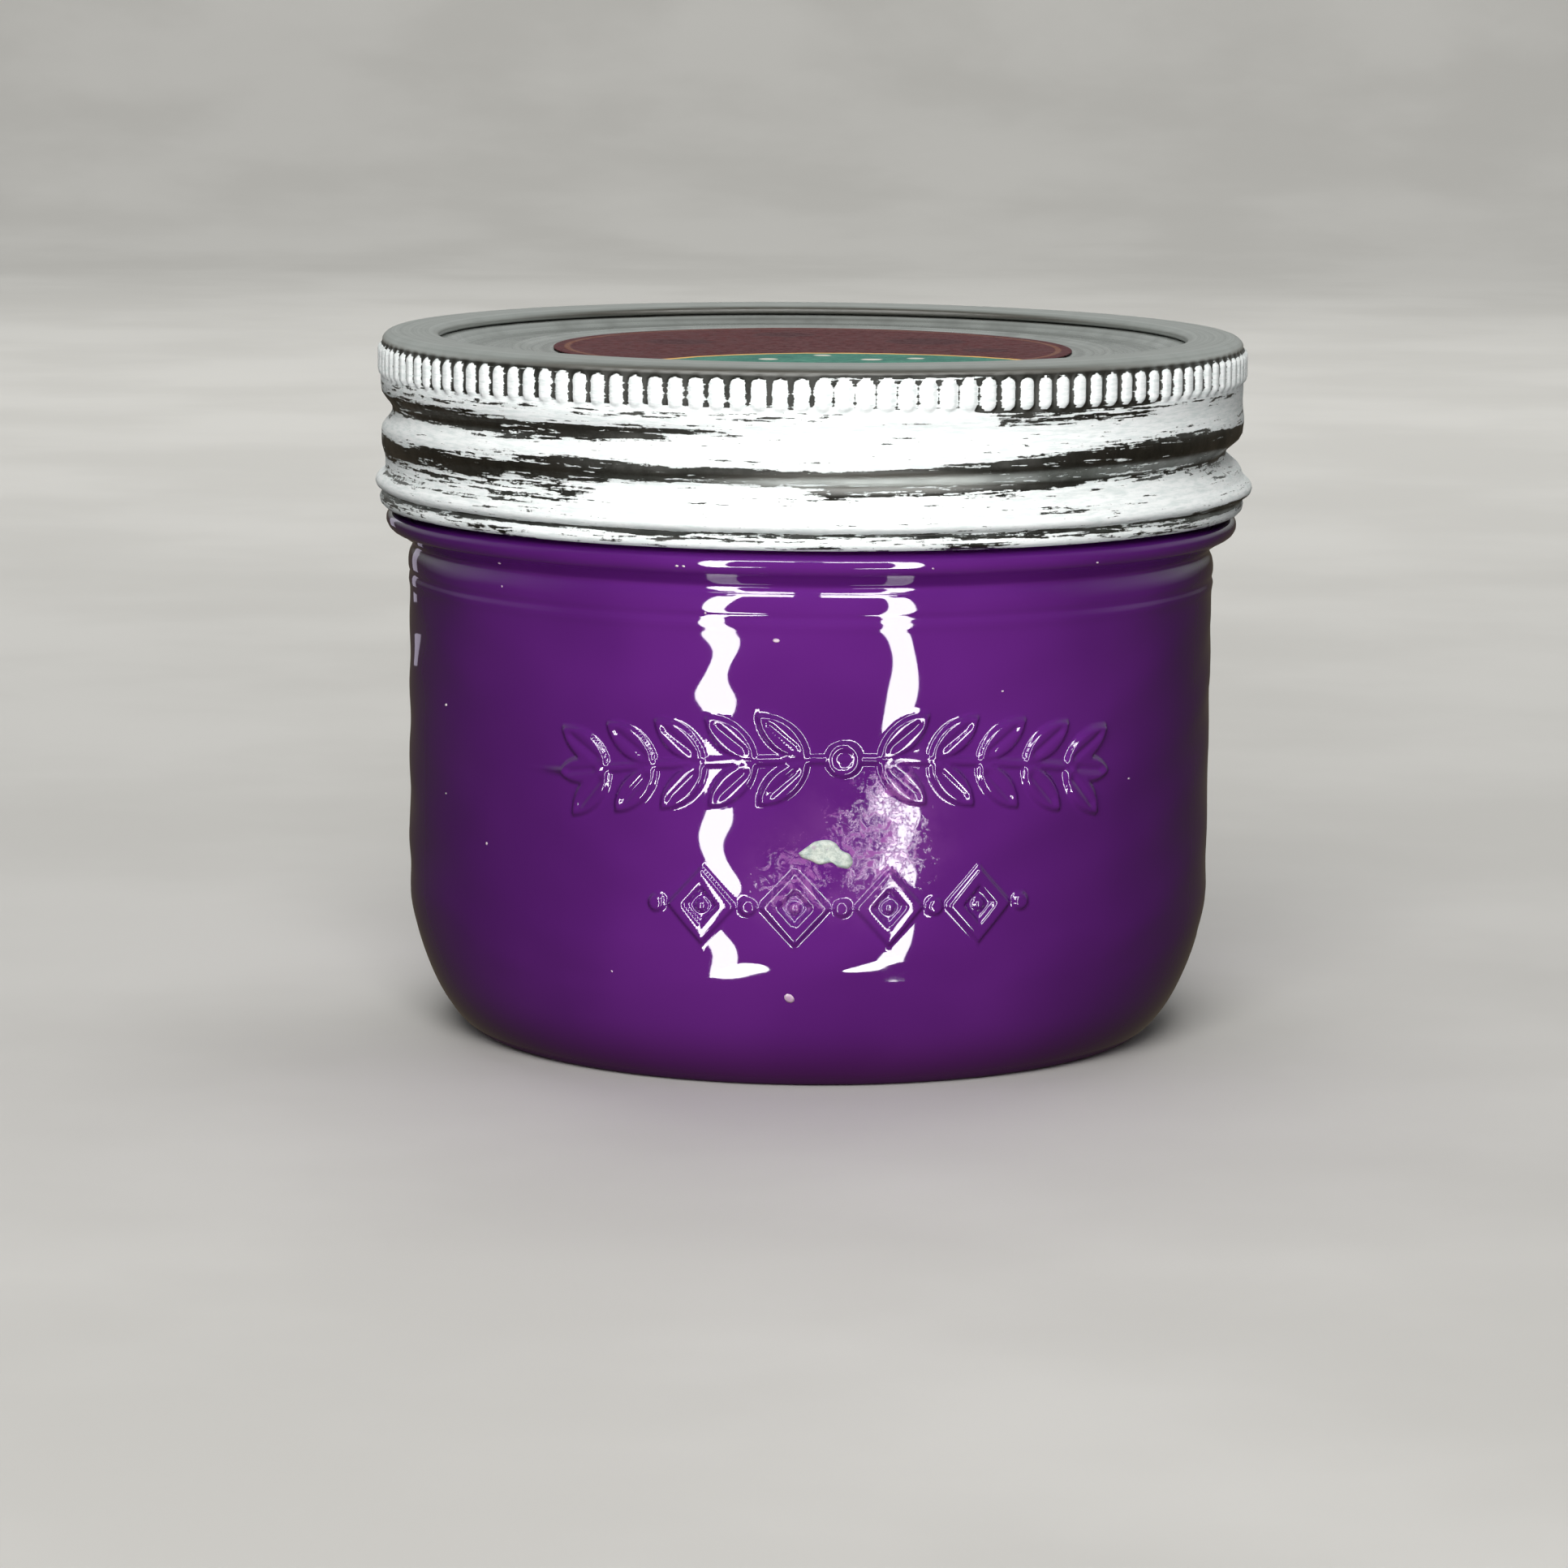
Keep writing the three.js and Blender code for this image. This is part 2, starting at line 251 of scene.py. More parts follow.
def ripples(z, a):
    """The slow waves of pressed glass, which bend what it mirrors."""
    chance = np.random.default_rng(11)
    out = np.zeros_like(z)
    for _ in range(RIPPLES):
        around = int(chance.integers(7, 24))
        length = chance.uniform(5, 11)
        phase = chance.uniform(0, 2 * math.pi)
        lean = chance.choice([-1, 1])
        upright = lean * 2 * math.pi / length
        size = RIPPLE_SLOPE * BODY_R / around
        out += size * np.cos(around * np.radians(a) + upright * z + phase)
    return out


def leaf(s, z, root_s, root_z, angle, length, width):
    """A pointed oval with a sunken midrib, growing from its root."""
    c, n = math.cos(angle), math.sin(angle)
    u = (s - root_s) * c + (z - root_z) * n - length / 2
    v = -(s - root_s) * n + (z - root_z) * c
    half, belly = length / 2, width / 2
    big = (half**2 + belly**2) / (2 * belly)
    off = big - belly
    inside = big - np.maximum(np.hypot(u, v - off), np.hypot(u, v + off))
    rib = 0.45 * bump(v, 0.3) * ease((half * 0.7 - np.abs(u)) / 0.8)
    return ease(inside / RELIEF_EDGE) * (1 - rib)


def disc(s, z, mid_s, mid_z, radius):
    return ease((radius - np.hypot(s - mid_s, z - mid_z)) / RELIEF_EDGE)


def lozenge(s, z, mid_s, mid_z, wide, tall):
    """A diamond outline with a small stud in it."""
    a, b = wide / 2, tall / 2
    reach_in = (1 - np.abs(s - mid_s) / a - np.abs(z - mid_z) / b) * a * b / math.hypot(a, b)
    frame_line = ease(reach_in / RELIEF_EDGE) * ease((1.75 - reach_in) / RELIEF_EDGE)
    return np.maximum(frame_line, disc(s, z, mid_s, mid_z, 0.75))


RELIEF_HEIGHT = 0.55
RELIEF_EDGE = 0.38
RELIEF_MIDDLE = 3.4        # mm round the glass from -Y to the middle of the pattern
GARLAND_TOP = 34.0
GARLAND_DROP = 2.7
GARLAND_HALF = 29.6
LEAF_PITCH = 5.1
LEAF_TILT = math.radians(41)
CHAIN_HEIGHT = 19.2
CHAIN_PITCH = 9.3


def arch_height(s):
    return GARLAND_TOP - GARLAND_DROP * (s / GARLAND_HALF) ** 2


def outward(s):
    """The direction of the garland's stem at s, away from its middle, in radians."""
    lie = math.atan2(-2 * GARLAND_DROP * s / GARLAND_HALF**2, 1)
    return lie if s > 0 else lie + math.pi


def relief(z, a):
    """The raised pattern on the front: an arched garland over a chain of lozenges."""
    s = np.radians(signed_azimuth(a)) * BODY_R - RELIEF_MIDDLE
    arch = arch_height(s)
    stem = ease((0.62 - np.abs(z - arch)) / 0.45) * ease((GARLAND_HALF - 4 - np.abs(s)) / 2)
    out = 0.75 * stem
    for side in (-1, 1):
        for k in range(5):
            root = side * (3.3 + LEAF_PITCH * k)
            for tilt in (-LEAF_TILT, LEAF_TILT):
                angle = outward(root) + tilt
                out = np.maximum(out, leaf(s, z, root, arch_height(root), angle, 7.0, 3.1))
        tip = side * (GARLAND_HALF - 5.5)
        out = np.maximum(out, leaf(s, z, tip, arch_height(tip), outward(tip), 6.0, 2.9))
    out = np.maximum(out, disc(s, z, 0, GARLAND_TOP, 1.9) - 0.5 * disc(s, z, 0, GARLAND_TOP, 1.1))
    for k in range(4):
        out = np.maximum(out, lozenge(s, z, CHAIN_PITCH * (k - 1.5), CHAIN_HEIGHT, 7.4, 8.2))
    for k in range(5):
        out = np.maximum(out, disc(s, z, CHAIN_PITCH * (k - 2), CHAIN_HEIGHT, 1.0))
    return RELIEF_HEIGHT * out


def jar_shape(r, z, a):
    """What bends the turned profile: ripples, the raised pattern and the thread."""
    outside = r > BODY_R - 0.8
    body = outside * window(z, 9, 45.5, 6)
    shoulder = outside * window(z, 48.5, 54, 0.5)
    neck = (r > FINISH_R - 0.5) & (z > 57)
    r = r + body * ripples(z, a)
    r = r + outside * (z < 47) * relief(z, a)
    r = r + 0.35 * shoulder * ripples(z * 1.7, a)
    r = r + neck * glass_thread(z, a)
    return r, z


def moulded_jar():
    ring = BODY_R - HEEL_RUN
    under = flowing([(0, 1.6), (20, 1.5)]
                    + steps_from(ring, 0, (-8, 1.3), (-4.2, 0.9), (-2.6, 0.25), (-1.6, 0.02), (0, 0)), 2.6)
    wall = heel(BODY_R, HEEL_RUN, HEEL_TOP, 0, steps=26)
    pattern = flowing([(BODY_R, HEEL_TOP), (BODY_R, 28), (BODY_R, PATTERN_TOP)], 0.235)
    above = flowing([(BODY_R, PATTERN_TOP), (BODY_R, WALL_TOP)], 0.6)
    shoulder = flowing(
        steps_from(BODY_R, 0, (0, WALL_TOP), (0.02, 46.3), (0.09, 46.75), (0.14, 47.1),
                   (0.10, 47.45), (0.02, 47.7), (0, 47.9), (0.09, 48.2), (0.15, 48.5),
                   (0.15, 48.9), (0.08, 49.5), (-0.06, 50.0), (-0.30, 50.5), (-0.36, 50.8),
                   (-0.06, 51.15), (0.5, 51.55), (1.2, 52.0), (1.9, 52.35))
        + steps_from(COLLAR_R, 0, (-0.18, 52.75), (0, 53.3), (-0.14, 53.85), (-0.9, 54.3))
        + steps_from(FINISH_R, 0, (0.6, 54.65), (0.1, 55.2), (0, NECK_LOW)), 0.26)
    lip = RIM_TOP - 1.0
    neck = flowing([(FINISH_R, NECK_LOW), (FINISH_R, 62), (FINISH_R, lip)], 0.5)
    middle = (FINISH_R + MOUTH_R) / 2
    rim = flowing(steps_from(FINISH_R, RIM_TOP, (0, -1.0), (-0.25, -0.4), (-0.8, -0.06))
                  + [(middle, RIM_TOP)]
                  + steps_from(MOUTH_R, RIM_TOP, (0.8, -0.06), (0.25, -0.4), (0, -1.0)), 0.45)
    inner = BODY_R - WALL
    inside = flowing([(MOUTH_R, lip), (MOUTH_R, 56), (MOUTH_R + 0.2, 53.5),
                      (inner - 0.1, 48), (inner, 46), (inner, 16.6)], 2.6)
    bowl = heel(inner, HEEL_RUN, 12.2, 4.4, steps=11)[::-1]
    floor_line = flowing([(inner - HEEL_RUN, 4.4), (22, 5.4), (8, 5.95), (0, 6.0)], 4)
    profile = joined(under, wall, pattern, above, shoulder, neck, rim, inside, bowl, floor_line)
    azimuths = np.concatenate([np.arange(-36, 46.5, 0.3), np.arange(46.5, 324, 3.7)])
    piece, _ = revolved("moulded_jar", profile, azimuths, "jar", jar_shape)
    return stands_for(piece, "glass_jar")


# ------------------------------------ paint


def paint_body():
    """The liquid, from the bowl of the jar up to its surface in the neck."""
    wall = BODY_R - WALL + WETTING
    neck = MOUTH_R + WETTING
    run, base = 7.2, 4.7
    under = flowing([(0, 6.05), (20, 5.6), (wall - run, base)], 3)
    side = heel(wall, run, 12.0, base, steps=12)
    upper = flowing([(wall, 16.7), (wall, 45.5), (wall - 0.2, 48), (neck + 0.15, 54),
                     (neck, 56), (neck, PAINT_LEVEL + 0.35)], 2.2)
    top = flowing(steps_from(neck, PAINT_LEVEL, (0, 0.35), (-0.35, 0.12), (-1.1, 0), (-8, -0.05))
                  + [(18, PAINT_LEVEL - 0.05), (0, PAINT_LEVEL - 0.05)], 0.9)

    def settle(r, z, a):
        """Slow swirls left in the surface by the last stir."""
        swirl = 0.05 * np.sin(3 * np.radians(a) + r * 0.33) + 0.03 * np.sin(r * 0.75)
        return r, z + (z > PAINT_LEVEL - 0.2) * swirl * ease((neck - r) / 3)

    piece, _ = revolved("paint_body", joined(under, side, upper, top), even_turn(144), "jar", settle)
    return stands_for(piece, "paint_fill")


def paint_skin():
    """Dried paint on the neck's inside, with a ragged upper edge."""
    outer, inner = MOUTH_R + WETTING, FILM_R - 0.25
    base = PAINT_LEVEL + 0.25
    top = FILM_TOP - 0.4
    profile = joined(
        flowing([(inner, base), (outer, base)], 0.25),
        flowing([(outer, base), (outer, top)], 0.35),
        flowing([(outer, top), (outer - 0.1, top + 0.08), (inner + 0.1, top + 0.02),
                 (inner, top - 0.1)], 0.15),
        flowing([(inner, top - 0.1), (inner, base)], 0.35),
    )
    chance = np.random.default_rng(5)
    waves = [(k, chance.uniform(0.2, 1.0) / k**0.5, chance.uniform(0, 6.3)) for k in range(1, 40)]

    def ragged(r, z, a):
        turn = np.radians(a)
        height = sum(size * np.cos(k * turn + phase) for k, size, phase in waves)
        share = np.clip(0.62 + 0.13 * height, 0.18, 1.0)
        crust = 0.08 * np.cos(23 * turn + z * 1.7) * (r < outer - 0.1)
        return r + crust, base + (z - base) * share

    piece, _ = revolved("paint_skin", profile, even_turn(240), "jar", ragged)
    return stands_for(piece, "paint_film")


def lump(name, middle, outline, thickness, sink, grain):
    """A thin lump lying on the glass. Its outline is a list of (along, up) points in mm."""
    chance = np.random.default_rng(3)
    line = flowing(outline + [outline[0]], 0.16)[:-1]
    count, rings = len(line), 9
    points = [[0.0, 0.0, thickness * 0.8]]
    for share in np.linspace(0, 1, rings + 1)[1:]:
        edge = ease((1 - share) / 0.22)
        rough = grain * chance.standard_normal(count) * (share < 0.98)
        lift = thickness * (0.35 + 0.65 * edge) * (0.8 + 0.2 * share) + rough
        points += [[p[0] * share, p[1] * share, h] for p, h in zip(line, lift)]
    points += [[p[0], p[1], -sink] for p in line]
    points.append([0.0, 0.0, -sink])
    shell = np.array(points)
    ring = np.arange(count)
    after = np.roll(ring, -1)
    quads = []
    for k in range(rings):
        low, high = 1 + k * count, 1 + (k + 1) * count
        quads.append(np.stack([low + ring, high + ring, high + after, low + after], -1))
    tip = np.stack([np.zeros(count, int), 1 + ring, 1 + after], -1)
    base = 1 + rings * count
    under = np.stack([np.full(count, len(points) - 1), base + after, base + ring], -1)
    angle = (middle.x + shell[:, 0]) / BODY_R
    radius = BODY_R + shell[:, 2]
    height = middle.z + shell[:, 1]
    placed = np.stack([radius * np.sin(angle), -radius * np.cos(angle), height], -1)
    return mesh_object(name, placed, [np.vstack(quads), tip, under], "jar")


def dried_splash():
    low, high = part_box("dried_fleck")
    middle = (low + high) / 2 / MM
    outline = [(-2.7, 0.15), (-1.9, 0.75), (-1.0, 1.35), (0.1, 1.5), (0.9, 1.2), (1.5, 0.5),
               (2.4, 0.0), (2.65, -0.7), (2.1, -1.35), (1.3, -1.2), (0.5, -0.75), (-0.6, -0.95),
               (-1.5, -0.55), (-2.3, -0.3)]
    piece = lump("dried_splash", middle, outline, thickness=0.3, sink=0.15, grain=0.02)
    return stands_for(piece, "dried_fleck")


# Specks of dust caught in the gloss: azimuth, height and half width of each.
DUST = (
    (-46.7, 51.6, 0.16), (-46.3, 49.2, 0.13), (-61.9, 36.0, 0.20), (-51.7, 22.8, 0.17),
    (-61.1, 26.9, 0.12), (-14.2, 48.2, 0.13), (-17.2, 52.9, 0.15), (-16.3, 52.9, 0.14),
    (-4.6, 45.4, 0.30), (15.5, 53.0, 0.13), (40.0, 52.8, 0.14), (27.0, 40.5, 0.12),
    (-28.0, 12.0, 0.13), (52.0, 30.0, 0.14), (118.0, 41.0, 0.17), (-140.0, 25.0, 0.18),
    (171.0, 33.0, 0.15), (-96.0, 44.0, 0.14), (-2.5, 10.2, 0.55),
)


def dust_nibs(glass):
    """Low domes standing on the glass, each with its base sunk into it."""
    spots = np.array([v.co for v in glass.data.vertices]) / MM
    facing = np.array([v.normal for v in glass.data.vertices])
    inside = (facing[:, :2] * spots[:, :2]).sum(1) <= 0.1 * BODY_R
    angles = np.degrees(np.arctan2(spots[:, 0], -spots[:, 1]))
    sides = 10
    turn = np.arange(sides) * 2 * math.pi / sides
    after = np.roll(np.arange(sides), -1)
    points, quads, tips = [], [], []
    for azimuth, height, size in DUST:
        away = np.hypot(np.radians(angles - azimuth) * BODY_R, spots[:, 2] - height) + 99 * inside
        nearest = int(np.argmin(away))
        middle, out = spots[nearest], facing[nearest]
        along = np.cross((0, 0, 1), out)
        along /= np.linalg.norm(along)
        up = np.cross(out, along)
        tall = min(size, 0.2)
        base = len(points)
        for share, lift in ((1.0, -0.5), (1.0, 0.15), (0.62, 0.45)):
            for t in turn:
                spread = share * size * (1 + 0.2 * math.sin(2 * t + azimuth))
                level = middle + spread * (math.cos(t) * along + 0.8 * math.sin(t) * up)
                points.append(level + lift * tall * out)
        points.append(middle - 0.5 * tall * out)
        points.append(middle + 0.55 * tall * out)
        ring, follow = base + np.arange(sides), base + after
        for low in (0, sides):
            high = low + sides
            quads.append(np.stack([low + ring, low + follow, high + follow, high + ring], -1))
        hub, tip = base + 3 * sides, base + 3 * sides + 1
        tips.append(np.stack([np.full(sides, hub), follow, ring], -1))
        tips.append(np.stack([np.full(sides, tip), 2 * sides + ring, 2 * sides + follow], -1))
    piece = mesh_object("dust_nibs", points, [np.vstack(quads), np.vstack(tips)], "jar")
    return piece


# ------------------------------------ lid


def lid_plate():
    top, panel, thick = DISC_TOP, DISC_TOP - 0.8, 0.42
    below = panel - thick
    upper = flowing(
        steps_from(DISC_R, top, (0, -0.95), (0, -0.4), (-0.12, -0.1), (-0.45, 0), (-2.5, 0))
        + steps_from(STEP_R, top, (1.2, 0), (0.6, -0.06), (0.2, -0.3), (-0.2, -0.62), (-0.7, -0.8))
        + [(34.5, panel)]
        + steps_from(BEAD_R, panel, (1.3, 0), (0.7, 0.1), (0, 0.28), (-0.7, 0.1), (-1.3, 0))
        + [(27.5, panel), (20, panel), (8, panel), (0, panel)], 0.3)
    under = flowing(
        [(0, below), (20, below)]
        + steps_from(BEAD_R, below, (-1.3, 0), (-0.7, 0.1), (0, 0.26), (0.7, 0.1), (1.3, 0))
        + steps_from(STEP_R, below, (-0.5, 0), (0.1, 0.1), (0.8, 0.75), (1.6, 0.8))
        + steps_from(DISC_R, top, (-0.8, -thick), (-0.4, -thick - 0.1), (-0.4, -0.9), (-0.2, -1.0),
                     (0, -0.95)), 0.7)
    piece, _ = revolved("lid_plate", joined(under, upper), even_turn(180), "lid")
    return stands_for(piece, "lid_disc")


def seal_ring():
    middle = (SEAL_LOW + SEAL_TOP) / 2
    inner, outer = STEP_R + 1.2, SEAL_R
    line = flowing(
        [(inner + 0.5, SEAL_LOW + 0.04), (inner + 1.9, SEAL_LOW), (outer - 0.5, SEAL_LOW + 0.04),
         (outer - 0.1, middle)]
        + steps_from(outer, SEAL_TOP, (0, -0.08), (-0.2, 0))
        + steps_from(inner, SEAL_TOP, (0.2, 0), (0, -0.08))
        + [(inner + 0.1, middle), (inner + 0.5, SEAL_LOW + 0.04)], 0.25)
    piece, _ = revolved("seal_ring", line, even_turn(144), "lid")
    return stands_for(piece, "lid_seal")


def label_print():
    edge = LABEL_R - 0.1
    profile = joined(
        flowing([(0, LABEL_LOW), (edge, LABEL_LOW)], 1.5),
        flowing([(edge, LABEL_LOW), (LABEL_R, LABEL_LOW + 0.06), (LABEL_R, LABEL_TOP - 0.06),
                 (edge, LABEL_TOP)], 0.06),
        flowing([(edge, LABEL_TOP), (LABEL_R - 3, LABEL_TOP), (12, LABEL_TOP), (0, LABEL_TOP)], 0.8),
    )

    def cockle(r, z, a):
        """The paper has sunk a little in places."""
        turn = np.radians(a)
        wave = 0.025 * np.sin(2 * turn + 0.4) * np.sin(r * 0.35) + 0.02 * np.sin(5 * turn + r * 0.2)
        return r, z + (z > LABEL_TOP - 0.02) * np.minimum(0, wave)

    piece, _ = revolved("label_print", profile, even_turn(144), "lid", cockle)
    return stands_for(piece, "lid_label")


# ------------------------------------ screw band

KNURLS = 136
KNURL_MIDDLE = 69.92
KNURL_HALF_LENGTH = 1.78
KNURL_HALF_WIDTH = 0.95
KNURL_HEIGHT = 0.46
GROOVE_HALF = 2.05

# The rolled groove, one line for each place along its turn and two thirds: angle along it,
# height, depth, and how far above it the metal starts and stops being bare.
GROOVE = np.array([
    [-485, 58.9, 0.00, 0.2, 2.0],
    [-450, 59.3, 0.45, 1.0, 2.9],
    [-415, 59.9, 0.62, 0.6, 2.6],
    [-402, 60.1, 0.70, 0.1, 2.1],
    [-388, 60.3, 0.80, 0.6, 2.4],
    [-376, 60.4, 0.90, 1.6, 2.5],
    [-366, 60.5, 1.00, 0.9, 2.0],
    [-345, 60.6, 1.20, -0.2, 2.1],
    [-327, 60.7, 1.42, -0.2, 3.4],
    [-313, 60.75, 1.50, 0.1, 4.1],
    [-302, 60.85, 1.60, 0.0, 4.0],
    [-285, 60.95, 1.70, -0.5, 3.3],
    [-270, 61.0, 1.75, 0.2, 3.4],
    [-225, 61.8, 1.70, -0.1, 2.2],
    [-180, 62.7, 1.70, 0.0, 2.0],
    [-135, 63.7, 1.45, 0.0, 2.1],
    [-90, 64.7, 1.15, 0.0, 2.4],
    [-60, 65.1, 0.95, -0.3, 1.6],
    [-37, 65.3, 0.80, -0.9, 0.6],
    [-24, 65.4, 0.65, -0.4, 0.8],
    [-15, 65.5, 0.55, 0.4, 1.0],
    [5, 65.7, 0.35, 0.7, 0.7],
    [25, 66.0, 0.25, 0.7, 0.7],
    [60, 66.4, 0.12, 0.7, 0.7],
    [110, 67.0, 0.00, 0.7, 0.7],
])


def groove_lines():
    """The groove's table, smoothed along the turn."""
    along = np.arange(-520.0, 150.0, 1.0)
    kernel = bump(np.arange(-24, 25), 12.0)
    kernel /= kernel.sum()
    columns = [along]
    for k in range(1, 5):
        raw = np.interp(along, GROOVE[:, 0], GROOVE[:, k])
        columns.append(np.convolve(np.pad(raw, 24, mode="edge"), kernel, mode="valid"))
    return columns


GROOVE_ALONG = groove_lines()


def groove_at(a):
    """For each turn of the groove: its height, depth and bare limits at these azimuths."""
    for turn in (-1, 0):
        along = signed_azimuth(a) + 360 * turn
        yield [np.interp(along, GROOVE_ALONG[0], c) for c in GROOVE_ALONG[1:]]


def groove_offset(z, a):
    out = np.zeros_like(z)
    for height, depth, _, _ in groove_at(a):
        away = (z - height) / GROOVE_HALF
        out -= depth * np.cos(np.pi / 2 * np.clip(away, -1, 1)) ** 2
        out += 0.09 * depth * bump(z - height - 3.3, 0.9)
    return out


def knurl(z, a):
    """0 in the valleys between the upright pills of the grip, 1 on their crests."""
    pitch = 2 * math.pi * SKIRT_R / KNURLS
    across = ((a * KNURLS / 360) % 1 - 0.5) * pitch
    over = np.maximum(np.abs(z - KNURL_MIDDLE) - (KNURL_HALF_LENGTH - KNURL_HALF_WIDTH), 0)
    inside = KNURL_HALF_WIDTH - np.hypot(across, over)
    return ease(inside / 0.5) * (0.86 + 0.14 * ease(inside / KNURL_HALF_WIDTH))


def on_grip(r, z):
    return (r > SKIRT_R - 0.5) * window(z, 68.1, 71.75, 0.1)


def band_shape(r, z, a):
    """What bends the turned profile: groove, knurls, dents and an uneven flare."""
    skirt = window(z, 58.6, 68.0, 0.5) * (r > SKIRT_R - 0.7)
    grip = on_grip(r, z) * (r > SKIRT_R - 0.25)
    offset = skirt * groove_offset(z, a)
    offset = offset + grip * (KNURL_HEIGHT * knurl(z, a) - 0.08)
    turn = np.radians(a)
    dents = 0.03 * np.cos(7 * turn + z * 0.4) + 0.025 * np.cos(11 * turn - z * 0.7 + 1.0)
    flare = window(z, 56.4, 58.3, 0.6) * (r > SKIRT_R)
    uneven = flare * (0.06 * np.cos(2 * turn + 2.6) + 0.26 * np.sin(turn) - 0.34)
    return r + offset + dents * (z < 68) + uneven, z


def band_profile():
    """The band's sheet in section: hem, flare, skirt, grip and flange, then back down inside."""
    low, top, outer = BAND_LOW, BAND_TOP, SKIRT_R
    within = outer - SHEET
    hem_r = FLARE_R - 1.85
    opening = SKIRT_R - 5.88
    skirt_low, skirt_top, grip_top = low + 4.3, 68.0, 71.7
    hem = flowing(
        steps_from(hem_r, low, (0, 0), (0.45, 0.06), (0.8, 0.4), (0.9, 0.85), (0.83, 1.25),
                   (0.63, 1.5), (0.8, 1.62), (1.3, 1.85))
        + steps_from(FLARE_R, low, (-0.12, 2.15), (0, 2.5), (-0.08, 2.85), (-0.5, 3.35))
        + [(outer + 0.16, low + 3.8), (outer, skirt_low)], 0.36)
    skirt = flowing([(outer, skirt_low), (outer, 64), (outer, skirt_top)], 0.5)
    grip = flowing([(outer, skirt_top), (outer, 70), (outer, grip_top)], 0.24)
    corner = flowing([(outer, grip_top), (outer - 0.12, 72.1), (outer - 0.45, 72.5),
                      (outer - 0.95, 72.74), (outer - 1.5, top)], 0.34)
    flange = flowing(
        [(outer - 1.5, top)]
        + steps_from(opening, top, (2.43, -0.08), (0.88, -0.05), (0.38, -0.14), (0.05, -0.36),
                     (0, -0.75), (0.13, -1.0), (0.38, -1.03), (0.58, -0.85)), 0.9)
    inside = flowing(
        steps_from(opening, top, (0.58, -0.85), (0.78, -0.55))
        + steps_from(outer, top, (-1.55, -0.5), (-0.75, -0.95), (-SHEET, -1.6))
        + [(within, 69)], 1.6)
    liner = flowing([(within, 69), (within, 64), (within, skirt_low)], 1.4)
    bottom = flowing(
        [(within, skirt_low), (within + 0.25, low + 3.7)]
        + steps_from(FLARE_R, low, (-0.8, 3.1), (-0.5, 2.5), (-0.75, 2.15))
        + steps_from(hem_r, low, (-0.15, 1.55), (-0.43, 1.2), (-0.47, 0.7), (-0.35, 0.2), (0, 0)),
        0.9)
    return joined(hem, skirt, grip, corner, flange, inside, liner, bottom)


# How bare a place is: white paint gives way to dark steel, and past that to clean steel.
DARK_STEEL = 1.2
CLEAN_STEEL = 2.0

# Stretches of azimuth where the coat is worn differently: from, to and the length of the fade.
THICK_COAT = (4, 20, 7)
DRIPS = (24, 46, 7)
LEFT_STREAKS = (-80, -34, 8)
RIGHT_STREAKS = (26, 76, 8)
COATED_CORNER = (-90, -38, 6)


def groove_wear(z, a):
    """Along the groove: a core of bare steel, and broken streaks round it."""
    signed = signed_azimuth(a)
    drips = window(signed, *DRIPS)
    left = window(signed, *LEFT_STREAKS)
    streaks = np.maximum(window(signed, *RIGHT_STREAKS), left)
    worn = np.zeros_like(z)
    for lower_turn, (height, depth, start, stop) in zip((1, 0), groove_at(a)):
        wide = ease((stop - start) / 1.2)
        above = z - height
        edge = np.minimum(0.9, 0.35 * (stop - start) + 0.1)
        core = 1.1 * window(above, start + edge / 2, stop - edge / 2, edge) * ease(depth / 0.4)
        low_part = ease((start + 0.45 * (stop - start) - above) / 0.5)
        core = core * (1 - (0.16 * streaks + 0.1 * drips) * (0.4 + 0.6 * low_part))
        lower = start + 0.2 - lower_turn * (0.3 + 0.7 * streaks + 1.3 * left)
        upper = stop - 0.3 + (1 - lower_turn) * 0.5
        halo = (0.28 + 0.16 * left) * window(above, lower, upper, 0.5) * ease(depth / 0.2)
        worn = np.maximum(worn, np.maximum(core, halo) * wide)
    return worn


def line_wear_and_shade(z, a):
    """Fine lines along the skirt, which are bare steel partly darkened as painted shade, and under it
    painted shade in the crease and under the flare, and wear on the hem.
    """
    signed = signed_azimuth(a)
    # The two fine lines along the groove are partly bare steel and partly painted shade.
    upper = 0.85 * window(z - 62.6 + 0.011 * signed, -0.08, 0.08, 0.16) * window(signed, -30, 40, 20)
    lower = 0.75 * window(z - 60.3 - 0.012 * signed, -0.2, 0.2, 0.3) * window(signed, 4, 34, 9)
    above_hem = z - BAND_LOW
    # Painted shade: a dark line in the crease above the hem, and under the flare on the right.
    crease_shade = 0.8 * window(above_hem, 1.45, 1.62, 0.22)
    under_flare_shade = window(above_hem, 1.3, 2.2, 0.3) * ease((signed - 48) / 20)
    hem = 0.31 * window(above_hem, 0, 1.3, 0.2)
    return np.maximum.reduce([upper, lower, crease_shade, under_flare_shade, hem])


def grip_wear(r, z, a):
    """The valleys between the knurls, the line along their tops and the drips at their feet."""
    signed = signed_azimuth(a)
    full = window(signed, *THICK_COAT)
    drips = window(signed, *DRIPS)
    gap = 1 - ease(knurl(z, a) / (0.62 + 0.2 * drips - 0.16 * full))
    above_foot = ease((z - 68.35 + 0.9 * drips) / 0.7)
    valley = on_grip(r, z) * (1 - 0.55 * full) * (1.5 + 0.5 * drips) * gap * above_foot
    coated = np.maximum(full, window(signed, *COATED_CORNER))
    corner = window(z, 71.5, 72.15, 0.12) * (1.5 - 1.05 * coated)
    foot = (0.26 + 0.36 * drips) * window(z, 67.3 - 0.4 * drips, 68.3, 0.4) * (1 - full)
    return np.maximum.reduce([valley, corner, foot])


